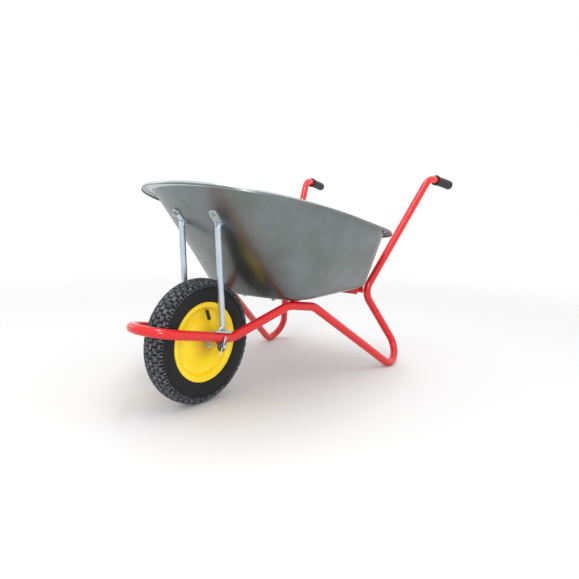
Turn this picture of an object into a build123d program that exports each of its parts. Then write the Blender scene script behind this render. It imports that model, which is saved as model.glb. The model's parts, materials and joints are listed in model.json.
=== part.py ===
from build123d import *
from math import asin, atan2, comb, cos, pi, radians, sin, sqrt
import os

# Wheelbarrow, millimetres. +Z up, the wheel towards -Y, the handles towards +Y, the axle along X.
# Everything is laid out from the wheel axle and then moved along Y to the middle of the length.

# ---- wheel ----
wheel_radius = 185.0
tyre_width = 68.0
tread_width = 46.0
tread_drop = 7.0
tyre_wall = 6.0
tread_wall = 10.0
inner_tube_wall = 2.0
inner_tube_gap = 0.5
rim_flange_radius = 118.0
rim_seat_radius = 105.0
rim_width = 55.0
rim_sheet = 2.0
bead_gap = 0.3
rim_valley_radius = 92.0
rim_valley_x = 10.0
hub_outer_radius = 13.5
hub_wall = 2.0
hub_length = 82.0
hub_proud = 5.0
bush_flange = 7.0
bush_length = 26.0
valve_radius = 4.0
valve_length = 40.0
valve_turn = 9.0
valve_lean = 28.0
valve_cap_radius = 5.0
valve_cap_length = 29.0

# ---- axle ----
axle_radius = 6.0
axle_end_past_pin = 6.0
running_clearance = 0.05
bolt_clearance = 0.4
body_gap = 0.4
axle_washer_radius = 16.5
axle_washer_thickness = 2.5
split_pin_radius = 2.0
split_pin_length = 50.0
split_pin_tilt = 29.0
spacer_wall = 2.5

# ---- frame tube ----
tube_radius = 14.0
tube_wall = 2.0
tube_spacing = 152.0
tube_underside_above_axle = 9.5
nose_rise = 0.23
nose_reach = 215.0
bend_radius = 60.0
foot_bend_radius = 61.0
knee_y = 56.0
flat_front = (149.0, 238.0, 276.0)
flat_rear = (179.0, 333.0, 261.5)
foot_centre = (264.0, 692.0)
rear_bend = (184.0, 659.0, 270.0)
handle_bend = (293.0, 952.0, 701.0)
handle_end = (316.0, 1104.0, 680.0)
bracket_thickness = 5.0
bracket_half_width = 12.0

# ---- grips ----
grip_radius = 18.0
grip_length = 112.0
grip_end_wall = 4.0

# ---- tub ----
floor_z = 292.0
tub_sheet = 1.5
tub_bottom_front = 204.0
tub_bottom_nose = 104.0
tub_bottom_rear = 664.0
tub_bottom_half_width = 204.0
tub_bottom_corner = 64.0
tub_bottom_fullness = 0.72
tub_bottom_fillet = 28.0
rim_front_y = -85.0
rim_front_z = 637.0
rim_rear_y = 686.0
rim_rear_z = 485.0
rim_widest_y = 360.0
rim_half_width = 298.0
rim_corner = 150.0
rim_fullness = 0.63
lip_reach = 28.0
lip_depth = 11.0
lip_roll = 7.0

# ---- cross members ----
front_bar_y = 270.0
front_bar_width = 30.0
front_bar_reach = 160.0
front_bar_thickness = 6.0
rear_bar_y = 640.0
rear_bar_width = 46.0
rear_bolt_setback = 11.0
rear_bar_height = 26.0
rear_bar_wall = 3.0

# ---- struts ----
strut_radius = 9.0
strut_wall = 1.5
strut_plate = 4.0
strut_foot_y = 15.0
strut_foot_front = 36.0
strut_foot_rear = 18.0
strut_foot_width = 18.0
strut_foot_flare = 9.0
strut_top_x = 74.0
strut_top_level = 0.775
strut_tab_width = 26.0
strut_tab_length = 40.0
strut_tab_gap = 0.3

# ---- fasteners (M8) ----
bolt_radius = 4.0
bolt_head_radius = 10.0
bolt_head_height = 4.4
nut_across = 13.0
nut_height = 6.5
washer_radius = 8.5
washer_thickness = 1.6
tub_bolt_x = 62.0

# ---- worked out from the values above ----
axle_z = wheel_radius
tube_x = tube_spacing / 2
tube_z = axle_z + tube_underside_above_axle + tube_radius
nose_slope = atan2(nose_rise, 1)
bracket_outer_x = tube_x + tube_radius
bracket_inner_x = bracket_outer_x - bracket_thickness
washer_inner_x = bracket_outer_x + body_gap
washer_outer_x = washer_inner_x + axle_washer_thickness
pin_x = washer_outer_x + split_pin_radius + body_gap
axle_end_x = pin_x + split_pin_radius + axle_end_past_pin
rear_bolt_y = rear_bar_y - rear_bolt_setback
axle_bore = axle_radius + running_clearance
grip_axis = (Vector(*handle_end) - Vector(*handle_bend)).normalized()


def both_sides(piece):
    """The piece and its mirror image on the other side of the barrow."""
    return [piece, mirror(piece, about=Plane.YZ)]


def rod(start, end, radius):
    """A round bar from one point to another."""
    start = Vector(*start)
    span = Vector(*end) - start
    return extrude(Plane(start, z_dir=span) * Circle(radius), span.length)


def pipe(start, end, outer, inner):
    """A round tube from one point to another."""
    return rod(start, end, outer) - rod(start, end, inner)


def across(x1, x2, outer, inner=0.0):
    """A round bar or ring on the axle line, from x1 to x2."""
    bar = rod((x1, 0, axle_z), (x2, 0, axle_z), outer)
    return bar - rod((x1, 0, axle_z), (x2, 0, axle_z), inner) if inner else bar


def on_axle(profile):
    """Turns a profile drawn as (x, radius) once round the axle."""
    wheel_plane = Plane(origin=(0, 0, axle_z), x_dir=(1, 0, 0), z_dir=(0, -1, 0))
    return revolve(wheel_plane * profile, Axis((0, 0, axle_z), (1, 0, 0)))


# ---- the bent frame tube ----
def foot_bend_centre():
    """The middle of a foot bend, at the height that lets the slanted bend touch the ground."""
    height = tube_radius + foot_bend_radius
    for _ in range(8):
        centre = Vector(*foot_centre, height)
        across_bend = (Vector(*flat_rear) - centre).cross(Vector(*rear_bend) - centre).normalized()
        height = tube_radius + foot_bend_radius * sqrt(1 - across_bend.Z**2)
    return Vector(*foot_centre, height)


def foot_corner():
    """The point where the two straights of a leg would meet under the foot bend."""
    centre = foot_bend_centre()
    front = Vector(*flat_rear) - centre
    rear = Vector(*rear_bend) - centre
    spread = radians(front.get_angle(rear))
    start = spread + pi / 2 - asin(foot_bend_radius / rear.length)
    end = 2 * pi - (pi / 2 - asin(foot_bend_radius / front.length))
    middle = (start + end) / 2
    reach = foot_bend_radius / cos((end - start) / 2)
    leg_plane = Plane(origin=centre, x_dir=front, z_dir=front.cross(rear))
    return leg_plane.from_local_coords(Vector(reach * cos(middle), reach * sin(middle)))


def over_axle(y):
    """A point on the sloping front straight of the tube."""
    return Vector(tube_x, y, tube_z - nose_rise * y)


def tube_path():
    """The centre line, from one handle round the nose to the other handle."""
    nose_radius = tube_x * 0.999
    right = [
        (Vector(*handle_end), None),
        (Vector(*handle_bend), bend_radius),
        (Vector(*rear_bend), bend_radius),
        (foot_corner(), foot_bend_radius),
        (Vector(*flat_rear), bend_radius),
        (Vector(*flat_front), bend_radius),
        (over_axle(knee_y), bend_radius),
        (over_axle(-nose_reach), nose_radius),
    ]
    left = [(Vector(-p.X, p.Y, p.Z), radius) for p, radius in reversed(right)]
    corners = right + left
    radii = [radius for point, radius in corners if radius]
    return FilletPolyline(*[point for point, radius in corners], radius=radii)


def swept_bar(radius):
    """A bar of the given radius bent along the tube's centre line."""
    path = tube_path()
    start = Plane(origin=path @ 0, z_dir=path % 0)
    return sweep(start * Circle(radius), path=path.wire())


def foot_plane():
    """The plane on top of the tube where a strut stands, +X rearwards along the tube."""
    along = Vector(0, cos(nose_slope), -sin(nose_slope))
    up = Vector(0, sin(nose_slope), cos(nose_slope))
    return Plane(origin=over_axle(strut_foot_y) + up * tube_radius, x_dir=along, z_dir=up)


def foot_bolt_line():
    """Where the strut foot bolt passes: on top of the tube, and straight down through it."""
    plane = foot_plane()
    top = plane.from_local_coords(Vector(strut_foot_rear, 0, 0))
    return top, plane.z_dir


def frame_tube(outer_bar):
    tube = outer_bar - swept_bar(tube_radius - tube_wall)
    top, up = foot_bolt_line()
    hole = rod(top + up, top - up * (2 * tube_radius + 1), bolt_radius + bolt_clearance)
    for cut in both_sides(hole):
        tube -= cut
    return tube


def front_crossbar(outer_bar):
    length = 2 * front_bar_reach
    middle = (0, front_bar_y, floor_z - front_bar_thickness / 2)
    bar = Pos(*middle) * Box(length, front_bar_width, front_bar_thickness)
    bar -= outer_bar
    for x in (-tub_bolt_x, tub_bolt_x):
        hole = Cylinder(bolt_radius + bolt_clearance, 2 * front_bar_thickness)
        bar -= Pos(x, front_bar_y, middle[2]) * hole
    return bar.solids().sort_by(SortBy.VOLUME)[-1]


def rear_crossbar(outer_bar):
    length = 2 * (rear_bend[0] - tube_radius / 2)
    middle_z = floor_z - rear_bar_height / 2
    bar = Pos(0, rear_bar_y, middle_z) * Box(length, rear_bar_width, rear_bar_height)
    hollow = Box(length, rear_bar_width - 2 * rear_bar_wall, rear_bar_height)
    bar -= Pos(0, rear_bar_y, middle_z - rear_bar_wall) * hollow
    bar -= outer_bar
    for x in (-tub_bolt_x, tub_bolt_x):
        bar -= Pos(x, rear_bolt_y, floor_z) * Cylinder(bolt_radius + bolt_clearance, 3 * rear_bar_wall)
    return bar.solids().sort_by(SortBy.VOLUME)[-1]


def axle_bracket(outer_bar):
    """The plate welded under the tube that carries one end of the axle."""
    face = Circle(bracket_half_width) + Pos(0, bracket_half_width) * Rectangle(
        2 * bracket_half_width, 2 * bracket_half_width
    )
    plane = Plane(origin=(bracket_inner_x, 0, axle_z), x_dir=(0, 1, 0), z_dir=(1, 0, 0))
    plate = extrude(plane * face, bracket_thickness)
    plate -= outer_bar
    above = Pos(tube_x, 0, tube_z + nose_rise * bracket_half_width + tube_radius) * Box(
        4 * tube_radius, 4 * bracket_half_width, 2 * tube_radius
    )
    plate -= above
    plate -= across(bracket_inner_x - 1, bracket_outer_x + 1, axle_bore)
    return plate.solids().sort_by(SortBy.VOLUME)[-1]


# ---- axle and what is on it ----
def axle():
    bar = across(-axle_end_x, axle_end_x, axle_radius)
    for hole in both_sides(split_pin_hole()):
        bar -= hole
    return bar


def pin_direction():
    tilt = radians(split_pin_tilt)
    return Vector(0, sin(tilt), cos(tilt))


def split_pin_hole():
    centre = Vector(pin_x, 0, axle_z)
    reach = pin_direction() * (2 * axle_radius)
    return rod(centre - reach, centre + reach, split_pin_radius + running_clearance)


def split_pin():
    """A split pin with its eye up and behind, and its legs down in front."""
    centre = Vector(pin_x, 0, axle_z)
    up = pin_direction()
    eye_radius = 2 * split_pin_radius
    top = centre + up * (axle_radius + eye_radius + split_pin_length * 0.3)
    legs = rod(centre - up * (split_pin_length * 0.55), top - up * eye_radius, split_pin_radius)
    eye_plane = Plane(origin=top, x_dir=up, z_dir=(1, 0, 0))
    return legs + eye_plane * Torus(eye_radius, split_pin_radius * 0.8)


def axle_spacer():
    inner_x = hub_length / 2 + bush_flange + body_gap
    return across(inner_x, bracket_inner_x, axle_bore + spacer_wall, axle_bore)


# ---- wheel ----
def tyre():
    half = tyre_width / 2
    bead_x = rim_width / 2 - rim_sheet - bead_gap
    heel_r = rim_seat_radius + bead_gap
    foot_r = heel_r + rim_sheet + bead_gap
    tread_r = wheel_radius - tread_drop
    shoulder = (tread_width / 2, tread_r)
    wide = (half, (tread_r + rim_flange_radius) / 2)
    lip = (bead_x, rim_flange_radius + bead_gap)
    foot = (bead_x, foot_r)
    heel = (bead_x - tyre_wall, heel_r)
    inside_wide = (half - tyre_wall, wide[1])
    inside_shoulder = (tread_width / 2 - 3, tread_r - tread_wall + 2)
    crown = wheel_radius - tread_wall
    outline = (
        ThreePointArc((-shoulder[0], tread_r), (0, wheel_radius), shoulder)
        + ThreePointArc(shoulder, wide, lip)
        + Line(lip, foot)
        + Line(foot, heel)
        + ThreePointArc(heel, inside_wide, inside_shoulder)
        + ThreePointArc(inside_shoulder, (0, crown), (-inside_shoulder[0], inside_shoulder[1]))
        + ThreePointArc(
            (-inside_shoulder[0], inside_shoulder[1]),
            (-inside_wide[0], inside_wide[1]),
            (-heel[0], heel_r),
        )
        + Line((-heel[0], heel_r), (-foot[0], foot_r))
        + Line((-foot[0], foot_r), (-lip[0], lip[1]))
        + ThreePointArc((-lip[0], lip[1]), (-wide[0], wide[1]), (-shoulder[0], tread_r))
    )
    return on_axle(make_face(outline))


def inner_tube():
    """The air tube inside the tyre, with a hole where the valve stem goes in."""
    low = rim_seat_radius + rim_sheet / 2 + inner_tube_gap
    high = wheel_radius - tread_wall - 4
    half_height = (high - low) / 2
    half_width = tread_width / 2 - 8
    ring = Pos(0, (low + high) / 2) * Ellipse(half_width, half_height)
    ring -= Pos(0, (low + high) / 2) * Ellipse(half_width - inner_tube_wall, half_height - inner_tube_wall)
    start, end = valve_line()
    return on_axle(ring) - rod(start, end, valve_radius)


def rim_barrel_face():
    """Half of the ring that the tyre sits on: the seat, and the flange that holds the bead in."""
    half = rim_width / 2
    t = rim_sheet
    return make_face(
        Polyline(
            (0, rim_seat_radius),
            (half - 3 * t, rim_seat_radius),
            (half - t, rim_seat_radius + t),
            (half - t, rim_flange_radius),
            (half, rim_flange_radius),
            (half, rim_seat_radius + t / 2),
            (half - 2 * t, rim_seat_radius - t),
            (0, rim_seat_radius - t),
            close=True,
        )
    )


def rim_dish_face():
    """The pressed disc: from the flange down into a rounded valley, and up a cone to the hub."""
    half = rim_width / 2
    hub_x = hub_length / 2 - hub_proud
    slope = (hub_x - rim_valley_x) / (rim_valley_radius - hub_outer_radius)
    front = [
        (half, rim_seat_radius + rim_sheet),
        (half - 1.5 * rim_sheet, rim_seat_radius - 1.5 * rim_sheet),
        (rim_valley_x + 2 * rim_sheet, rim_valley_radius + 2 * rim_sheet),
        (rim_valley_x, rim_valley_radius - 2 * rim_sheet),
        (rim_valley_x + 0.52 * slope * (rim_valley_radius - hub_outer_radius), 0.5 * rim_valley_radius),
        (hub_x, hub_outer_radius),
    ]
    back = [(x - 1.25 * rim_sheet, radius) for x, radius in reversed(front)]
    return make_face(Spline(*front) + Line(front[-1], back[0]) + Spline(*back) + Line(back[-1], front[0]))


def rim_half(with_valve_hole):
    """One half of the rim: barrel and dish pressed from one sheet."""
    dish = on_axle(rim_barrel_face() + rim_dish_face())
    start, end = valve_line()
    return dish - rod(start, end, valve_radius + bolt_clearance) if with_valve_hole else dish


def hub_tube():
    return across(-hub_length / 2, hub_length / 2, hub_outer_radius, hub_outer_radius - hub_wall)


def bush():
    """A plain bearing pushed into the end of the hub, with a flange outside."""
    end = hub_length / 2
    body = across(end - bush_length, end, hub_outer_radius - hub_wall)
    flange = across(end, end + bush_flange, hub_outer_radius - 1.5)
    return body + flange - across(end - bush_length - 1, end + bush_flange + 1, axle_bore)


def valve_line():
    """The stem's two ends: under the inner tube, and out towards the hub on the open side."""
    turn = radians(valve_turn)
    lean = radians(valve_lean)
    outward = Vector(0, sin(turn), cos(turn))
    start = Vector(rim_width / 5, 0, axle_z) + outward * (rim_seat_radius + 1)
    direction = outward * -cos(lean) + Vector(sin(lean), 0, 0)
    return start, start + direction * valve_length


def valve_stem():
    start, end = valve_line()
    return rod(start, end, valve_radius)


def valve_cap():
    start, end = valve_line()
    direction = (end - start).normalized()
    foot = end - direction * (valve_cap_length - 4)
    cap = rod(foot, end + direction * 4, valve_cap_radius)
    return cap - rod(foot, end, valve_radius)


# ---- grips ----
def grip():
    closed_end = Vector(*handle_end) + grip_axis * grip_end_wall
    body = rod(closed_end - grip_axis * grip_length, closed_end, grip_radius)
    body = fillet(body.edges().sort_by(Axis(closed_end, grip_axis))[-1], grip_end_wall - 1)
    return body - rod(closed_end - grip_axis * (grip_length + 1), Vector(*handle_end), tube_radius)


# ---- tub ----
def nose_curve(half_width, nose, fullness):
    """Control points of half a nose, from its widest point on +X to its tip on -Y."""
    return (
        (half_width, 0),
        (half_width, -fullness * nose),
        (fullness * half_width, -nose),
        (0, -nose),
    )


def tub_outline(half_width, length, to_widest, corner, fullness):
    """A closed outline with rounded rear corners and a full, round nose; rear edge on y = 0."""
    flat = half_width - corner
    right = [(x, y - to_widest) for x, y in nose_curve(half_width, length - to_widest, fullness)]
    left = [(-x, y) for x, y in reversed(right)]
    edges = (
        Line((-flat, 0), (flat, 0))
        + CenterArc((flat, -corner), corner, 90, -90)
        + Line((half_width, -corner), (half_width, -to_widest))
        + Bezier(*right)
        + Bezier(*left)
        + Line((-half_width, -to_widest), (-half_width, -corner))
        + CenterArc((-flat, -corner), corner, 180, -90)
    )
    return make_face(edges)


rim_fall = atan2(rim_front_z - rim_rear_z, rim_rear_y - rim_front_y)
rim_plane = Plane(
    origin=(0, rim_rear_y, rim_rear_z),
    x_dir=(1, 0, 0),
    z_dir=(0, sin(rim_fall), cos(rim_fall)),
)
wall_level_thickness = 1.3 * tub_sheet
rim_length = (rim_rear_y - rim_front_y) / cos(rim_fall)
rim_to_widest = (rim_rear_y - rim_widest_y) / cos(rim_fall)


def rim_face(grow):
    """The rim's outline in the rim plane, larger all round by the given amount."""
    face = tub_outline(
        rim_half_width + grow,
        rim_length + 2 * grow,
        rim_to_widest + grow,
        rim_corner + grow,
        rim_fullness,
    )
    return rim_plane * (Pos(0, grow) * face)


def bottom_face(grow, z):
    length = tub_bottom_rear - tub_bottom_front
    face = tub_outline(
        tub_bottom_half_width + grow,
        length + 2 * grow,
        length - tub_bottom_nose + grow,
        tub_bottom_corner + grow,
        tub_bottom_fullness,
    )
    return Pos(0, tub_bottom_rear + grow, z) * face


def tub_body(grow, z):
    """The space inside the tub's walls, filled, with its bottom edge rounded."""
    body = loft([bottom_face(grow, z), rim_face(grow)], ruled=True)
    return fillet(body.faces().sort_by(Axis.Z)[0].edges(), tub_bottom_fillet + grow)


def rim_slab(grow, top, depth, roll):
    """A slab with the rim's outline, under the rim plane, with its top edge rolled over."""
    down = rim_plane.z_dir * -1
    slab = Location(down * top) * extrude(rim_face(grow), depth, dir=down)
    return fillet(slab.faces().sort_by(Axis(rim_plane.origin, rim_plane.z_dir))[-1].edges(), roll)


def tub():
    outside = tub_body(0, floor_z)
    inside = tub_body(-wall_level_thickness, floor_z + tub_sheet)
    lip = rim_slab(lip_reach, 0, lip_depth, lip_roll)
    under_lip = rim_slab(lip_reach - tub_sheet, tub_sheet, lip_depth, lip_roll - tub_sheet) - outside
    return outside + lip - under_lip - inside


def wall_point(x, level):
    """A point on the outside of the tub's nose, from 0 at the floor to 1 at the rim, and the way out."""

    def on_nose(half_width, nose, fullness, along):
        corners = nose_curve(half_width, nose, fullness)
        shares = [comb(3, i) * along**i * (1 - along) ** (3 - i) for i in range(4)]
        return [sum(share * corner[i] for share, corner in zip(shares, corners)) for i in (0, 1)]

    def at(along, part):
        low_x, low_y = on_nose(tub_bottom_half_width, tub_bottom_nose, tub_bottom_fullness, along)
        low = Vector(low_x, low_y + tub_bottom_front + tub_bottom_nose, floor_z)
        rim_x, rim_y = on_nose(rim_half_width, rim_length - rim_to_widest, rim_fullness, along)
        high = rim_plane.from_local_coords(Vector(rim_x, rim_y - rim_to_widest))
        return low + (high - low) * part

    near, far = 0.0, 1.0
    for _ in range(40):
        along = (near + far) / 2
        near, far = (along, far) if at(along, level).X > x else (near, along)
    step = 0.001
    point = at(along, level)
    sideways = at(along - step, level) - point
    upward = at(along, level + step) - point
    return point, sideways.cross(upward).normalized(), upward.normalized()


# ---- struts ----
strut_bolt_point, wall_out, wall_up = wall_point(strut_top_x, strut_top_level)
tab_plane = Plane(origin=strut_bolt_point + wall_out * strut_tab_gap, x_dir=wall_up * -1, z_dir=wall_out)


def strut_line():
    """The strut's centre line, from the foot plate on the tube up to the tab on the tub."""
    low = foot_plane().from_local_coords(Vector(0, 0, strut_plate))
    high = tab_plane.from_local_coords(Vector(strut_tab_length - strut_radius, 0, strut_plate + 1))
    return low, high


def strut(outer_bar):
    """A round tube pinched flat at both ends: a foot plate on the frame and a tab on the tub."""
    low, high = strut_line()
    along = (high - low).normalized()
    low_round = low + along * (1.7 * strut_radius)
    high_round = high - along * (1.3 * strut_radius)
    tube = pipe(low_round, high_round, strut_radius, strut_radius - strut_wall)
    sideways = Vector(1, 0, 0)
    foot_seat = raised(foot_plane(), strut_plate * 0.75)
    low_flat = foot_seat * Pos(-strut_foot_flare) * Rectangle(3 * strut_radius, strut_plate)
    low_end = Plane(origin=low_round, x_dir=sideways, z_dir=along) * Circle(strut_radius)
    high_end = Plane(origin=high_round, x_dir=sideways, z_dir=along) * Circle(strut_radius)
    high_flat = Plane(origin=high, x_dir=sideways, z_dir=along) * Rectangle(strut_tab_width, strut_plate)
    pinched_low = loft([low_flat, low_end])
    pinched_high = loft([high_end, high_flat])
    foot_length = strut_foot_front + strut_foot_rear + bolt_head_radius
    foot_middle = (strut_foot_rear + bolt_head_radius - strut_foot_front) / 2
    foot = Pos(foot_middle, 0, strut_plate / 2) * Box(foot_length, strut_foot_width, strut_plate)
    tab_face = Circle(strut_tab_width / 2)
    tab_face += Pos(strut_tab_length / 2) * Rectangle(strut_tab_length, strut_tab_width)
    tab = extrude(tab_plane * tab_face, strut_plate)
    body = tube + pinched_low + pinched_high + foot_plane() * foot + tab
    body -= outer_bar
    body -= tab_plane * Cylinder(bolt_radius + bolt_clearance, 4 * strut_plate)
    body -= foot_plane() * Pos(strut_foot_rear) * Cylinder(bolt_radius + bolt_clearance, 4 * strut_plate)
    return body.solids().sort_by(SortBy.VOLUME)[-1]


# ---- fasteners ----
def round_head_bolt(plane, length):
    """A low round head standing on the plane, with its shank going down through it."""
    head = plane * Cone(bolt_head_radius, bolt_head_radius * 0.55, bolt_head_height, align=STANDING)
    return head + plane * Cylinder(bolt_radius, length, align=HANGING)


def hex_bolt(plane, length):
    head = extrude(plane * RegularPolygon(nut_across / 2, 6, major_radius=False), nut_height * 0.8)
    return head + plane * Cylinder(bolt_radius, length, align=HANGING)


def nut(plane):
    body = extrude(plane * RegularPolygon(nut_across / 2, 6, major_radius=False), nut_height)
    return body - plane * Cylinder(bolt_radius, 4 * nut_height)


def washer(plane):
    ring = Circle(washer_radius) - Circle(bolt_radius + bolt_clearance)
    return extrude(plane * ring, washer_thickness)


def turned_over(plane, depth):
    """The same place seen from below, a given depth under the plane."""
    return Plane(origin=plane.origin - plane.z_dir * depth, x_dir=plane.x_dir, z_dir=plane.z_dir * -1)


STANDING = (Align.CENTER, Align.CENTER, Align.MIN)
HANGING = (Align.CENTER, Align.CENTER, Align.MAX)


def raised(plane, height):
    return Plane(origin=plane.origin + plane.z_dir * height, x_dir=plane.x_dir, z_dir=plane.z_dir)


def strut_top_fasteners():
    """Round head inside the tub, washer and nut outside on the tab."""
    inside = turned_over(tab_plane, wall_level_thickness + 3 * strut_tab_gap)
    washer_at = raised(tab_plane, strut_plate)
    nut_at = raised(washer_at, washer_thickness)
    length = wall_level_thickness + strut_plate + washer_thickness + nut_height + bolt_radius
    return round_head_bolt(inside, length), washer(washer_at), nut(nut_at)


def strut_foot_fasteners():
    """Hexagon head on the foot plate, nut under the frame tube."""
    foot = foot_plane()
    origin = foot.from_local_coords(Vector(strut_foot_rear, 0, strut_plate))
    seat = Plane(origin=origin, x_dir=foot.x_dir, z_dir=foot.z_dir)
    under = strut_plate + 2 * tube_radius
    length = under + 2 * washer_thickness + nut_height + 2
    head_at = raised(seat, washer_thickness)
    low = turned_over(seat, under)
    return hex_bolt(head_at, length), [washer(seat), washer(low)], nut(raised(low, washer_thickness))


def tub_fasteners(x, y, bar_thickness):
    """Round head on the tub floor, washer and nut under the cross member."""
    seat = Plane(origin=(x, y, floor_z + tub_sheet))
    low = turned_over(seat, tub_sheet + bar_thickness)
    length = tub_sheet + bar_thickness + washer_thickness + nut_height + 2
    return round_head_bolt(seat, length), washer(low), nut(raised(low, washer_thickness))


def tub_with_holes():
    body = tub()
    places = tub_bolt_places()
    for x, y, thickness in places:
        body -= Pos(x, y, floor_z) * Cylinder(bolt_radius + bolt_clearance, 4 * tub_sheet)
    for hole in both_sides(tab_plane * Cylinder(bolt_radius + bolt_clearance, 6 * tub_sheet)):
        body -= hole
    return body


def tub_bolt_places():
    return [
        (x, y, thickness)
        for x in (-tub_bolt_x, tub_bolt_x)
        for y, thickness in ((front_bar_y, front_bar_thickness), (rear_bolt_y, rear_bar_wall))
    ]


# ---- every node ----
def all_nodes():
    outer_bar = swept_bar(tube_radius)
    nodes = {
        "frame_tube": [frame_tube(outer_bar)],
        "front_crossbar": [front_crossbar(outer_bar)],
        "rear_crossbar": [rear_crossbar(outer_bar)],
        "axle": [axle()],
        "axle_washers": both_sides(across(washer_inner_x, washer_outer_x, axle_washer_radius, axle_bore)),
        "split_pins": both_sides(split_pin()),
        "tub": [tub_with_holes()],
        "tyre": [tyre()],
        "inner_tube": [inner_tube()],
        "hub_tube": [hub_tube()],
        "valve_stem": [valve_stem()],
        "valve_cap": [valve_cap()],
    }
    pairs = {
        "axle_bracket": axle_bracket(outer_bar),
        "axle_spacer": axle_spacer(),
        "strut": strut(outer_bar),
        "grip": grip(),
        "bush": bush(),
    }
    for name, piece in pairs.items():
        nodes[name + "_right"], nodes[name + "_left"] = [[side] for side in both_sides(piece)]
    outer_half = rim_half(with_valve_hole=True)
    nodes["rim_half_right"] = [outer_half]
    nodes["rim_half_left"] = [mirror(rim_half(with_valve_hole=False), about=Plane.YZ)]
    bolt, ring, hexagon = strut_top_fasteners()
    nodes["strut_top_bolts"] = both_sides(bolt)
    nodes["strut_top_washers"] = both_sides(ring)
    nodes["strut_top_nuts"] = both_sides(hexagon)
    bolt, rings, hexagon = strut_foot_fasteners()
    nodes["strut_foot_bolts"] = both_sides(bolt)
    nodes["strut_foot_washers"] = [side for ring in rings for side in both_sides(ring)]
    nodes["strut_foot_nuts"] = both_sides(hexagon)
    sets = [tub_fasteners(*place) for place in tub_bolt_places()]
    for number, name in enumerate(("tub_bolts", "tub_washers", "tub_nuts")):
        nodes[name] = [fasteners[number] for fasteners in sets]
    return nodes


nodes = all_nodes()
every_solid = [solid for pieces in nodes.values() for piece in pieces for solid in piece.solids()]
everything = Compound(every_solid)
middle_y = everything.bounding_box().center().Y
os.makedirs("parts", exist_ok=True)
for name, pieces in nodes.items():
    solids = [Pos(0, -middle_y, 0) * solid for piece in pieces for solid in piece.solids()]
    export_step(solids[0] if len(solids) == 1 else Compound(solids), f"parts/{name}.step")

box = everything.bounding_box()
print("nodes", len(nodes), "size", box.size, "axle y", -middle_y)
print("tub holds", round((tub_body(-wall_level_thickness, floor_z + tub_sheet).volume) / 1e6, 1), "litres")
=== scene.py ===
# %% [markdown]
# # A wheelbarrow
#
# The barrow arrives as a frame of measured solids: a bent red tube, a steel tub, struts, an axle and a
# wheel that turns. Those solids set every size and place. This lesson dresses them: it models the pieces
# whose small shapes matter, such as the tread blocks, and gives every surface its finish.

# %% Load the measured frame
import math

import bpy
from mathutils import Matrix, Vector
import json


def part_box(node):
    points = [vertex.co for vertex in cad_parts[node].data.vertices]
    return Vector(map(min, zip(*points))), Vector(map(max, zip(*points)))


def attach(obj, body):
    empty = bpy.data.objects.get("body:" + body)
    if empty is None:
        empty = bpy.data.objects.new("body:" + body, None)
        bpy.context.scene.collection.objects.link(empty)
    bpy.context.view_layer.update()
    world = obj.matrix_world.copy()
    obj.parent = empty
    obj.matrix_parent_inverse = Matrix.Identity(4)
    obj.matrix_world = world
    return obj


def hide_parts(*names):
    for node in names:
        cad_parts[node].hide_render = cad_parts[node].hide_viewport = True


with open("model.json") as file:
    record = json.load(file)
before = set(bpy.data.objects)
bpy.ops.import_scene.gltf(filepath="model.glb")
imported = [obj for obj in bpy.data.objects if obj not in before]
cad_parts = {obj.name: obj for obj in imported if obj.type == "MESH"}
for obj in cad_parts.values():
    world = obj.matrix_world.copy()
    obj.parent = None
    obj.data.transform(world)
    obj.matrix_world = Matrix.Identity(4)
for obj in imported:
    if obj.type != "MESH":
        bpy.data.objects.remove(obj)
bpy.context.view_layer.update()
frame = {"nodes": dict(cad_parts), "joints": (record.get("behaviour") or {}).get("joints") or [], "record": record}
nodes = frame["nodes"]
axle = Vector(frame["joints"][0]["pos_m"])
print("axle at", axle, "with", len(nodes), "nodes")

# %% [markdown]
# ## Writing shader maths as sums
#
# A material is a web of nodes. Wiring each by hand is slow to read, so a small class holds one socket and
# lets Python's own signs add the nodes: `grain * 0.2 + 0.5` becomes a Multiply and an Add. Anything that
# isn't arithmetic, such as a noise or a ramp, comes from one method that takes the node's type.


# %% A socket that does arithmetic
class Wire:
    """One output socket in a material, with the arithmetic signs adding Math nodes."""

    def __init__(self, tree, socket):
        self.tree = tree
        self.socket = socket

    def maths(self, operation, other, swapped=False):
        node = self.tree.nodes.new("ShaderNodeMath")
        node.operation = operation
        first, second = (other, self) if swapped else (self, other)
        for place, value in enumerate((first, second)):
            if isinstance(value, Wire):
                self.tree.links.new(value.socket, node.inputs[place])
            else:
                node.inputs[place].default_value = value
        return Wire(self.tree, node.outputs[0])

    def __add__(self, other):
        return self.maths("ADD", other)

    __radd__ = __add__

    def __mul__(self, other):
        return self.maths("MULTIPLY", other)

    __rmul__ = __mul__

    def __sub__(self, other):
        return self.maths("SUBTRACT", other)

    def __rsub__(self, other):
        return self.maths("SUBTRACT", other, swapped=True)

    def over(self, low, high):
        """0 where this is under low, 1 where it is above high, and a smooth slope between."""
        node = self.tree.nodes.new("ShaderNodeMapRange")
        node.interpolation_type = "SMOOTHSTEP"
        self.tree.links.new(self.socket, node.inputs["Value"])
        node.inputs["From Min"].default_value = low
        node.inputs["From Max"].default_value = high
        return Wire(self.tree, node.outputs["Result"])


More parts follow.
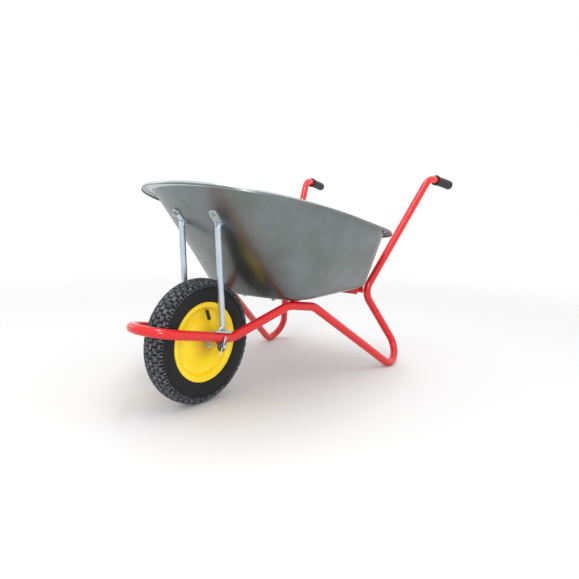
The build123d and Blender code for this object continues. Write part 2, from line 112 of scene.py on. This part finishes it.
class Finish:
    """A material in the making: its shader, and the patterns that feed it."""

    def __init__(self, name):
        self.material = bpy.data.materials.new(name)
        self.material.use_nodes = True
        self.tree = self.material.node_tree
        self.shader = self.tree.nodes["Principled BSDF"]
        self.place = self.node("ShaderNodeTexCoord", output="Object")

    def node(self, kind, settings=None, output=0, **inputs):
        """Adds a node: its settings, then a value or wire for each socket, by name or by i and number."""
        made = self.tree.nodes.new(kind)
        for key, value in (settings or {}).items():
            setattr(made, key, value)
        for key, value in inputs.items():
            numbered = key[0] == "i" and key[1:].isdigit()
            socket = made.inputs[int(key[1:]) if numbered else key]
            if isinstance(value, Wire):
                self.tree.links.new(value.socket, socket)
            else:
                socket.default_value = value
        return Wire(self.tree, made.outputs[output])

    def noise(self, scale, detail=3.0, stretch=(1, 1, 1), roughness=0.5):
        """Cloudy values from 0 to 1; a stretch under 1 draws the clouds out along that axis."""
        place = self.node("ShaderNodeMapping", Vector=self.place, Scale=stretch)
        sockets = {"Vector": place, "Scale": scale, "Detail": detail, "Roughness": roughness}
        return self.node("ShaderNodeTexNoise", output="Fac", **sockets)

    def vector(self, operation, one, two=(0, 0, 0), output=0):
        """A Vector Math node: a place less another, a length, or a share along a direction."""
        return self.node("ShaderNodeVectorMath", {"operation": operation}, output=output, i0=one, i1=two)

    def mix(self, factor, one, two):
        """One colour where the factor is 0, the other where it is 1."""
        return self.node("ShaderNodeMix", {"data_type": "RGBA"}, output=2, i0=factor, i6=one, i7=two)

    def bump(self, height, distance, strength=1.0):
        made = self.node("ShaderNodeBump", Height=height, Distance=distance, Strength=strength)
        self.set(Normal=made)

    def set(self, **sockets):
        """Feeds the shader's own sockets; an underscore in a name stands for a space."""
        for name, value in sockets.items():
            socket = self.shader.inputs[name.replace("_", " ")]
            if isinstance(value, Wire):
                self.tree.links.new(value.socket, socket)
            else:
                socket.default_value = value


def rgb(red, green, blue):
    return (red, green, blue, 1.0)


print("shader helpers ready")

# %% [markdown]
# ## Red paint on the frame
#
# The tube is sprayed with a glossy red enamel. A clear coat over the colour gives the sharp highlight that
# runs along each tube. Real paint is never one red: it is slightly thinner in places, has orange peel that
# makes the highlight wander, and dulls where hands, ground and the tub rub it.


# %% The red enamel
def red_enamel():
    paint = Finish("red_enamel")
    cloud = paint.noise(9.0)
    fine = paint.noise(420.0, 2.0)
    scuffs = paint.noise(60.0, 6.0, roughness=0.7).over(0.62, 0.72)
    height = paint.node("ShaderNodeSeparateXYZ", output="Z", Vector=paint.place)
    near_ground = 1 - height.over(0.004, 0.075)
    dust = near_ground * paint.noise(45.0, 5.0).over(0.40, 0.66)
    colour = paint.mix(cloud, rgb(0.62, 0.007, 0.010), rgb(0.74, 0.011, 0.015))
    colour = paint.mix(scuffs * 0.18, colour, rgb(0.34, 0.006, 0.006))
    colour = paint.mix(dust * 0.28, colour, rgb(0.30, 0.14, 0.10))
    paint.set(Base_Color=colour, Roughness=0.30 + cloud * 0.08 + scuffs * 0.12 + dust * 0.3)
    paint.set(Specular_IOR_Level=0.15)
    paint.set(Coat_Weight=0.90 - scuffs * 0.3 - dust * 0.4, Coat_Roughness=0.12, Coat_IOR=1.5)
    paint.bump(fine * 0.6 + scuffs * 0.4, 0.00012, 0.5)
    return paint.material


frame_red = red_enamel()
print("made", frame_red.name)

# %% [markdown]
# ## Galvanised sheet
#
# The tub is pressed from zinc-coated sheet. Zinc is a satin metal: it mirrors the red tubes and the yellow
# wheel only as soft smears. The sheet was drawn into a mould, so faint lines run up the walls, and the
# zinc shows pale and dark patches a few centimetres across. A pale band along the top of the lip is a
# painted highlight.


# %% The zinc on the tub
def lip_plane():
    """The tilted plane through the lip's outer edge: a point on it, and its normal."""
    spots = [v.co for v in nodes["tub"].data.vertices]
    front = min(spots, key=lambda spot: (round(spot.y, 3), -spot.z))
    rear = max(spots, key=lambda spot: (round(spot.y, 3), spot.z))
    along = (rear - front).normalized()
    normal = Vector((0, -along.z, along.y)).normalized()
    return front, normal


def zinc_sheet():
    zinc = Finish("zinc_sheet")
    patches = zinc.noise(11.0, 3.0)
    crystals = zinc.node(
        "ShaderNodeTexVoronoi", {"feature": "F1"}, output="Color", Vector=zinc.place, Scale=150.0
    )
    crystals = zinc.node("ShaderNodeSeparateColor", Color=crystals)
    drawn = zinc.noise(90.0, 3.0, stretch=(1.0, 1.0, 0.04))
    rubs = zinc.noise(38.0, 8.0, stretch=(1.0, 0.35, 1.0), roughness=0.75).over(0.61, 0.70)
    lip_point, lip_normal = lip_plane()
    from_lip = zinc.vector("SUBTRACT", zinc.place, tuple(lip_point))
    above = zinc.vector("DOT_PRODUCT", from_lip, tuple(lip_normal), output="Value")
    # Painted highlight: the zinc is made pale in a band along the top of the lip.
    lip_highlight = above.over(0.0025, 0.0065)
    colour = zinc.mix(patches.over(0.3, 0.7), rgb(0.165, 0.184, 0.176), rgb(0.205, 0.228, 0.230))
    colour = zinc.mix(crystals * 0.10, colour, rgb(0.30, 0.33, 0.335))
    colour = zinc.mix(rubs * 0.18, colour, rgb(0.11, 0.12, 0.12))
    colour = zinc.mix(lip_highlight * (0.70 + patches * 0.3), colour, rgb(0.62, 0.68, 0.71))
    zinc.set(Base_Color=colour, Metallic=0.92)
    zinc.set(Roughness=0.235 + patches * 0.06 + drawn * 0.05 + crystals * 0.015 + rubs * 0.06)
    zinc.bump(drawn * 0.6 + patches * 0.5 + rubs * 0.2, 0.0002, 0.25)
    return zinc.material


tub_zinc = zinc_sheet()
print("made", tub_zinc.name)

# %% [markdown]
# ## Bright zinc on struts and fasteners
#
# Struts, washers, nuts and pins are electroplated: bluish, brighter and smoother than the dipped tub. The
# same finish is made with its colours, roughness and metal share changed: once for the tubes, once for the
# small hardware, which is greyer, and once as a dark steel.


# %% Plated steel
def plated_steel(name, pale, dark, roughness, metallic):
    plate = Finish(name)
    cloud = plate.noise(30.0, 3.0)
    lines = plate.noise(260.0, 2.0, stretch=(1.0, 1.0, 0.05))
    specks = plate.noise(300.0, 5.0, roughness=0.7).over(0.64, 0.74)
    colour = plate.mix(cloud, dark, pale)
    colour = plate.mix(specks * 0.5, colour, rgb(0.20, 0.20, 0.21))
    plate.set(Base_Color=colour, Metallic=metallic)
    plate.set(Roughness=roughness + cloud * 0.10 + lines * 0.08 + specks * 0.15)
    plate.bump(lines * 0.4 + specks * 0.6, 0.00006, 0.4)
    return plate.material


strut_zinc = plated_steel("strut_zinc", rgb(0.62, 0.70, 0.76), rgb(0.44, 0.52, 0.58), 0.22, 0.80)
hardware_zinc = plated_steel("hardware_zinc", rgb(0.66, 0.67, 0.68), rgb(0.44, 0.45, 0.46), 0.18, 0.92)
dark_steel = plated_steel("dark_steel", rgb(0.13, 0.13, 0.13), rgb(0.06, 0.06, 0.06), 0.30, 0.9)
print("made", strut_zinc.name, hardware_zinc.name, dark_steel.name)

# %% [markdown]
# ## Yellow paint on the rim
#
# The wheel's two dishes are powder-coated a warm yellow. Towards the axle, where the cone meets the hub,
# the colour deepens to orange-brown: painted shade for the hollow round the hub. Distance from the axle
# line gives that, made uneven by a noise.


# %% The rim's paint
def rim_yellow():
    paint = Finish("rim_yellow")
    from_axle = paint.vector("SUBTRACT", paint.place, tuple(axle))
    ring = paint.vector("MULTIPLY", from_axle, (0, 1, 1))
    distance = paint.vector("LENGTH", ring, output="Value")
    cloud = paint.noise(18.0, 4.0)
    smudge = paint.noise(55.0, 6.0, roughness=0.7)
    # Painted shade: orange-brown darkening round the hub, strongest near the axle line.
    hub_shade = (1 - distance.over(0.014, 0.060)) * (0.45 + smudge * 0.8)
    colour = paint.mix(cloud, rgb(0.95, 0.62, 0.006), rgb(1.0, 0.82, 0.018))
    colour = paint.mix(hub_shade * 0.75, colour, rgb(0.42, 0.16, 0.010))
    paint.set(Base_Color=colour, Roughness=0.34 + cloud * 0.08 + hub_shade * 0.2)
    paint.set(Specular_IOR_Level=0.3)
    paint.set(Coat_Weight=0.30 - hub_shade * 0.2, Coat_Roughness=0.16)
    paint.bump(paint.noise(500.0, 2.0) * 0.7 + smudge * 0.3, 0.00010, 0.5)
    return paint.material


wheel_yellow = rim_yellow()
print("made", wheel_yellow.name)

# %% [markdown]
# ## Rubber
#
# Three rubbers: the tyre, dusty in its grooves, its blocks paler than the casing from wear and a painted
# highlight; the softer, slightly shiny hand grips; and the black moulded cap on the valve.


# %% Black rubbers
def tyre_rubber(name, dark, pale, wear_and_sheen_share):
    rubber = Finish(name)
    cloud = rubber.noise(24.0, 4.0)
    grain = rubber.noise(700.0, 3.0)
    # Paler bluish-grey patches, partly wear and partly a painted highlight; the last argument sets their share.
    wear_and_sheen = rubber.noise(130.0, 5.0, roughness=0.65).over(0.42, 0.70)
    dust = rubber.noise(34.0, 6.0, roughness=0.6).over(0.50, 0.74)
    colour = rubber.mix(cloud, dark, pale)
    colour = rubber.mix(wear_and_sheen * wear_and_sheen_share, colour, rgb(0.200, 0.210, 0.230))
    colour = rubber.mix(dust * 0.10, colour, rgb(0.10, 0.085, 0.065))
    rubber.set(Base_Color=colour, Roughness=0.44 + cloud * 0.10 + wear_and_sheen * 0.12 + dust * 0.2)
    rubber.set(Specular_IOR_Level=0.28)
    rubber.bump(grain, 0.00012, 0.5)
    return rubber.material


def moulded_rubber(name, dark, pale, roughness):
    rubber = Finish(name)
    cloud = rubber.noise(40.0, 4.0)
    grain = rubber.noise(900.0, 2.0)
    rubber.set(Base_Color=rubber.mix(cloud, dark, pale), Roughness=roughness + cloud * 0.12)
    rubber.set(Specular_IOR_Level=0.35)
    rubber.bump(grain, 0.00008, 0.5)
    return rubber.material


tyre_black = tyre_rubber("tyre_black", rgb(0.0045, 0.0048, 0.0060), rgb(0.0095, 0.0100, 0.0125), 0.04)
# The blocks wear a much paler copy of the tyre rubber with nearly the full share of pale patches: a painted
# highlight on the tread, partly wear.
block_painted_sheen = tyre_rubber("block_painted_sheen", rgb(0.030, 0.032, 0.036), rgb(0.060, 0.063, 0.070), 0.95)
grip_black = moulded_rubber("grip_black", rgb(0.0035, 0.0048, 0.0056), rgb(0.009, 0.011, 0.0125), 0.40)
cap_black = moulded_rubber("cap_black", rgb(0.008, 0.007, 0.006), rgb(0.018, 0.016, 0.012), 0.36)
print("made", tyre_black.name, block_painted_sheen.name, grip_black.name, cap_black.name)

# %% [markdown]
# ## Brass for the valve stem
#
# The stem is turned brass, mostly hidden in the cap and the tyre.


# %% Brass
def turned_brass():
    brass = Finish("turned_brass")
    cloud = brass.noise(80.0, 3.0)
    brass.set(Base_Color=brass.mix(cloud, rgb(0.52, 0.36, 0.12), rgb(0.72, 0.54, 0.22)))
    brass.set(Metallic=0.95, Roughness=0.25 + cloud * 0.2)
    brass.bump(brass.noise(600.0, 2.0), 0.00005, 0.4)
    return brass.material


stem_brass = turned_brass()

# %% [markdown]
# ## Which solid wears which finish
#
# Each carried-over solid keeps its shape, and only its material slots change. The names say what a thing
# is, so a short table is enough.

# %% Dress the solids
FINISHES = {
    "frame_tube": frame_red,
    "front_crossbar": frame_red,
    "rear_crossbar": frame_red,
    "axle_bracket": frame_red,
    "tub": tub_zinc,
    "strut": strut_zinc,
    "strut_top": hardware_zinc,
    "strut_foot": hardware_zinc,
    "tub_bolts": hardware_zinc,
    "tub_washers": hardware_zinc,
    "tub_nuts": hardware_zinc,
    "axle": hardware_zinc,
    "axle_washers": dark_steel,
    "axle_spacer": hardware_zinc,
    "split_pins": hardware_zinc,
    "hub_tube": hardware_zinc,
    "rim_half": wheel_yellow,
    "tyre": tyre_black,
    "inner_tube": cap_black,
    "bush": hardware_zinc,
    "grip": grip_black,
    "valve_stem": stem_brass,
    "valve_cap": cap_black,
}


def finish_for(name):
    """The finish of the longest table name that this solid's name starts with."""
    fits = [key for key in FINISHES if name.startswith(key)]
    return FINISHES[max(fits, key=len)]


for name, solid in nodes.items():
    solid.data.materials.clear()
    solid.data.materials.append(finish_for(name))
print("dressed", len(nodes), "solids")

# %% [markdown]
# ## Shop helpers
#
# Every operator works on what is selected, so each piece starts by clearing the selection. Faces are then
# picked by a rule about their place, as one would click them.


# %% Selecting and finishing
def put_down_tools():
    if bpy.context.object and bpy.context.object.mode != "OBJECT":
        bpy.ops.object.mode_set(mode="OBJECT")
    bpy.ops.object.select_all(action="DESELECT")


def hold(piece):
    """Makes one piece the only selected and active one."""
    put_down_tools()
    piece.select_set(True)
    bpy.context.view_layer.objects.active = piece


def pick_faces(piece, rule):
    """Leaves edit mode, selects the faces that the rule accepts, and goes back in."""
    bpy.ops.object.mode_set(mode="EDIT")
    bpy.ops.mesh.select_all(action="DESELECT")
    bpy.ops.object.mode_set(mode="OBJECT")
    for face in piece.data.polygons:
        face.select = bool(rule(face))
    bpy.ops.object.mode_set(mode="EDIT")


def add_finished(piece, name, body, material):
    """Names a piece, gives it its finish and lets it ride on its body."""
    hold(piece)
    bpy.ops.object.transform_apply(location=True, rotation=True, scale=True)
    piece.name = name
    piece.data.name = name
    piece.data.materials.clear()
    piece.data.materials.append(material)
    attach(piece, body)
    print(name, "has", len(piece.data.polygons), "faces")

# %% [markdown]
# ## The tyre's casing
#
# The measured tyre is the outside of the tread, with no blocks cut in it. The real one is a casing with
# rubber blocks standing about 5 mm above it. Cutting hundreds of grooves would be slow, so the casing is
# spun a little lower than the blocks' tops, and blocks are set on it. A tiny plane merged to one point
# gives the first point of the section. Extruding that point from spot to spot draws the rest, up from the
# rim, over a thin raised ring on the sidewall, to the crown and down the other side, and back under the
# tread so that the casing is closed. One spin about the axle then makes the tyre.

# %% Sizes of the tyre
tyre_low, tyre_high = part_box("tyre")
wheel_radius = (tyre_high.z - tyre_low.z) / 2
tyre_half_width = (tyre_high.x - tyre_low.x) / 2
block_height = 0.0056
casing_crown = wheel_radius - block_height
print("tyre radius", round(wheel_radius, 4), "half width", round(tyre_half_width, 4))

# %% The casing's section
# Each point is its place along the axle and its distance from it, from the rim up to the crown.
casing_section = [
    (0.0215, 0.1064),
    (0.0248, 0.1080),
    (0.0250, 0.1180),
    (0.0282, 0.1198),
    (0.0302, 0.1208),
    (0.0300, 0.1228),
    (0.0318, 0.1262),
    (0.0328, 0.1300),
    (0.0336, 0.1304),
    (0.0337, 0.1316),
    (0.0331, 0.1320),
    (0.0338, 0.1400),
    (0.0339, 0.1440),
    (0.0332, 0.1520),
    (0.0322, 0.1585),
    (0.0316, 0.1596),
    (0.0312, 0.1640),
    (0.0280, 0.1700),
    (0.0225, 0.1750),
    (0.0130, 0.1787),
    (0.0, casing_crown),
]


# %% Spin a section round a line
def spin_round(section, centre, line, start, steps):
    """Draws a closed section of points, each so far along the line and so far out, and spins it."""
    put_down_tools()
    bpy.ops.mesh.primitive_plane_add(size=0.002, location=(0, 0, 0))
    piece = bpy.context.object
    bpy.ops.object.mode_set(mode="EDIT")
    bpy.ops.mesh.select_all(action="SELECT")
    bpy.ops.mesh.merge(type="CENTER")
    spots = [centre + line * along + start * out for along, out in section]
    bpy.ops.transform.translate(value=spots[0])
    for one, two in zip(spots, spots[1:] + spots[:1]):
        bpy.ops.mesh.extrude_vertices_move(TRANSFORM_OT_translate={"value": two - one})
    bpy.ops.mesh.select_all(action="SELECT")
    bpy.ops.mesh.remove_doubles(threshold=0.00001)
    bpy.ops.mesh.select_all(action="SELECT")
    bpy.ops.mesh.spin(steps=steps, angle=math.tau, center=centre, axis=line)
    bpy.ops.mesh.select_all(action="SELECT")
    bpy.ops.mesh.remove_doubles(threshold=0.00001)
    bpy.ops.mesh.normals_make_consistent(inside=False)
    bpy.ops.object.mode_set(mode="OBJECT")
    bpy.ops.object.shade_smooth_by_angle(angle=math.radians(35))
    return piece


# %% Spin the casing
CASING_STEPS = 180
along_x = Vector((1, 0, 0))
along_z = Vector((0, 0, 1))
other_side = [(-x, r) for x, r in reversed(casing_section[:-1])]
casing = spin_round(casing_section + other_side, axle, along_x, along_z, CASING_STEPS)
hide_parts("tyre")
add_finished(casing, "tyre_casing", "wheel", tyre_black)
print("casing radius", round(max((v.co - axle).yz.length for v in casing.data.vertices), 4))

# %% [markdown]
# ## The tread blocks
#
# On each side of the middle, three rows of blocks and one row of thin ribs go round the tyre. The two rows
# nearest the middle slant against each other, the third leans over the shoulder, and the ribs, two to a
# block, run down towards the sidewall. That gives the tyre its toothed outline. Each block is a cube that
# is stretched, drawn in at its top and given a raised inner face, so that its edges catch the light. One is
# modelled for each row and side, then copied round the wheel with its own mesh.

# %% Sizes of the tread
BLOCKS_ROUND = 52
block_sink = 0.0025
edge_inset = 0.0006
face_rise = 0.0004


# %% One block
def model_block(length_x, length_y, slant, top_scale):
    """A block at the origin, upright as it will stand at the top of the wheel."""
    put_down_tools()
    bpy.ops.mesh.primitive_cube_add(size=1.0, location=(0, 0, 0))
    piece = bpy.context.object
    tall = block_height + block_sink
    bpy.ops.object.mode_set(mode="EDIT")
    bpy.ops.mesh.select_all(action="SELECT")
    bpy.ops.transform.resize(value=(length_x, length_y, tall))
    pick_faces(piece, lambda face: face.normal.z > 0.9)
    bpy.ops.transform.resize(value=(top_scale, top_scale, 1.0))
    bpy.ops.mesh.inset(thickness=edge_inset, depth=0.0)
    bpy.ops.transform.translate(value=(0, 0, face_rise))
    bpy.ops.mesh.select_all(action="SELECT")
    bpy.ops.transform.rotate(value=slant, orient_axis="Z", center_override=(0, 0, 0))
    bpy.ops.object.mode_set(mode="OBJECT")
    return piece


# %% Lay a row of copies round the wheel
def lay_row(pattern, name, count, start, place_x, radius, lean):
    """Copies one block round the wheel and joins the copies into one piece."""
    copies = []
    for number in range(count):
        turn = start + math.tau * number / count
        copy = pattern.copy()
        copy.data = pattern.data.copy()
        bpy.context.scene.collection.objects.link(copy)
        outward = Matrix.Rotation(lean, 4, "Y")
        up = Matrix.Translation((place_x, 0, radius))
        around = Matrix.Rotation(turn, 4, "X")
        copy.data.transform(Matrix.Translation(axle) @ around @ up @ outward)
        copies.append(copy)
    put_down_tools()
    for copy in copies:
        copy.select_set(True)
    bpy.context.view_layer.objects.active = copies[0]
    bpy.ops.object.join()
    row = bpy.context.object
    row.name = name
    return row


def drop(piece):
    bpy.data.objects.remove(piece, do_unlink=True)


# %% The rows of the tread
# Lengths in metres, angles in degrees. The start is a number of half steps between two blocks.
TREAD_ROWS = [
    {
        "size": (0.0116, 0.0182),
        "top": 0.88,
        "slant": 10,
        "place": 0.0068,
        "below": 0.0005,
        "lean": 4,
        "count": BLOCKS_ROUND,
        "start": 0.0,
    },
    {
        "size": (0.0112, 0.0178),
        "top": 0.88,
        "slant": -6,
        "place": 0.0196,
        "below": 0.0036,
        "lean": 22,
        "count": BLOCKS_ROUND,
        "start": 0.9,
    },
    {
        "size": (0.0080, 0.0150),
        "top": 0.84,
        "slant": 0,
        "place": 0.0278,
        "below": 0.0092,
        "lean": 48,
        "count": BLOCKS_ROUND,
        "start": 0.0,
    },
    {
        "size": (0.0085, 0.0050),
        "top": 0.80,
        "slant": 0,
        "place": 0.0302,
        "below": 0.0158,
        "lean": 66,
        "count": 2 * BLOCKS_ROUND,
        "start": 0.5,
    },
]


# %% Lay every row on both sides
half_step = math.pi / BLOCKS_ROUND
block_level = wheel_radius - (block_height + block_sink) / 2


def lay_one_side(kind, side):
    """Lays one row of the table on one side, the far side half a step on from the near one."""
    across, along = kind["size"]
    block = model_block(across, along, side * math.radians(kind["slant"]), kind["top"])
    start = kind["start"] * half_step + (half_step if side < 0 else 0)
    level = block_level - kind["below"]
    lean = side * math.radians(kind["lean"])
    row = lay_row(block, "row", kind["count"], start, side * kind["place"], level, lean)
    drop(block)
    return row


rows = [lay_one_side(kind, side) for kind in TREAD_ROWS for side in (1, -1)]
print("laid", len(rows), "rows")

put_down_tools()
for row in rows:
    row.select_set(True)
bpy.context.view_layer.objects.active = rows[0]
bpy.ops.object.join()
tread = bpy.context.object
hold(tread)
bpy.ops.object.shade_flat()
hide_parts("tyre")
add_finished(tread, "tyre_tread_blocks", "wheel", block_painted_sheen)
block_reach = max((v.co - axle).yz.length for v in tread.data.vertices)
print("blocks reach", round(block_reach, 4), "of", round(wheel_radius, 4))

# %% [markdown]
# ## Cuffs on the grips
#
# A moulded grip has a thicker rolled cuff at its open end, which stops it from splitting as it is pushed on
# to the tube. The cuff is one more round thing, so it is spun from its own small section about the grip's
# line, which the record gives for each hand.

# %% Spin a cuff for each hand
CUFF_STEPS = 40
cuff_section = [
    (0.0000, 0.0170),
    (-0.0006, 0.0186),
    (0.0006, 0.0199),
    (0.0034, 0.0204),
    (0.0060, 0.0199),
    (0.0078, 0.0187),
    (0.0086, 0.0176),
    (0.0080, 0.0170),
]
for mount in frame["record"]["mounts"]:
    if mount["name"].startswith("grip_"):
        line = Vector(mount["axis"]).normalized()
        length = mount["dims"]["length_mm"] / 1000
        open_end = Vector(mount["pos_m"]) - line * length / 2
        sideways = line.cross(along_z).normalized()
        cuff = spin_round(cuff_section, open_end, line, sideways, CUFF_STEPS)
        add_finished(cuff, mount["name"] + "_cuff", "frame", grip_black)

# %% [markdown]
# ## A plain studio
#
# The barrow stands on a wide pale floor that fades into the pale sky a few metres away, so no horizon
# shows. The sky gives an even light. Shiny paint needs something to mirror, so two lamps are long narrow
# strips, one overhead and one in front. A wider, weaker one fills the far side.


# %% Floor
FADE_FROM = 1.2
FADE_TO = 3.0


def fading_floor():
    put_down_tools()
    bpy.ops.mesh.primitive_plane_add(size=40.0, location=(0, 0, 0))
    floor = bpy.context.object
    floor.name = "studio_floor"
    pale = Finish("studio_pale")
    away = pale.vector("LENGTH", pale.place, output="Value")
    pale.set(Base_Color=rgb(0.74, 0.74, 0.74), Roughness=0.9)
    pale.set(Alpha=1 - away.over(FADE_FROM, FADE_TO))
    floor.data.materials.append(pale.material)


fading_floor()


# %% Lights
def add_soft_lamp(name, place, target, size, power):
    lamp_data = bpy.data.lights.new(name, "AREA")
    lamp_data.shape = "RECTANGLE"
    lamp_data.size, lamp_data.size_y = size
    lamp_data.energy = power
    lamp = bpy.data.objects.new(name, lamp_data)
    bpy.context.scene.collection.objects.link(lamp)
    lamp.location = place
    lamp.rotation_euler = (Vector(target) - Vector(place)).to_track_quat("-Z", "Y").to_euler()


middle = (0, 0, 0.35)
add_soft_lamp("lamp_overhead", (0.3, -0.4, 3.0), middle, (0.5, 2.6), 36)
add_soft_lamp("lamp_front", (2.6, -2.4, 1.6), middle, (0.3, 1.6), 26)
add_soft_lamp("lamp_side", (-2.8, -1.2, 1.8), middle, (1.2, 2.0), 8)

world = bpy.data.worlds.new("pale_sky")
bpy.context.scene.world = world
world.use_nodes = True
world.node_tree.nodes["Background"].inputs["Color"].default_value = rgb(1.0, 1.0, 1.0)
world.node_tree.nodes["Background"].inputs["Strength"].default_value = 1.0
bpy.context.scene.view_settings.view_transform = "Standard"
print("studio ready")

# %% [markdown]
# ## The camera
#
# The camera stands low in front and to the right, a little under two metres from the middle of the
# barrow, with a fairly wide lens, and is tipped slightly. Its directions follow from the turn, the dip and
# the tilt.

# %% Camera
camera_place = Vector((1.0768, axle.y - 1.0077, 0.5757))
camera_turn = math.radians(36.65)
camera_dip = math.radians(9.14)
camera_tilt = math.radians(1.03)
lens_for_sensor = 0.877513


def camera_axes():
    ahead = Vector(
        (
            -math.sin(camera_turn) * math.cos(camera_dip),
            math.cos(camera_turn) * math.cos(camera_dip),
            -math.sin(camera_dip),
        )
    )
    level = Vector((math.cos(camera_turn), math.sin(camera_turn), 0))
    upright = level.cross(ahead)
    right = level * math.cos(camera_tilt) + upright * math.sin(camera_tilt)
    up = upright * math.cos(camera_tilt) - level * math.sin(camera_tilt)
    return right, up, -ahead


camera_data = bpy.data.cameras.new("camera")
camera_data.sensor_width = 36.0
camera_data.lens = lens_for_sensor * camera_data.sensor_width
camera = bpy.data.objects.new("camera", camera_data)
bpy.context.scene.collection.objects.link(camera)
camera.matrix_world = Matrix.Translation(camera_place) @ Matrix(camera_axes()).transposed().to_4x4()
bpy.context.scene.camera = camera
print("lens", round(camera_data.lens, 2), "mm")

# %% Finish
import json
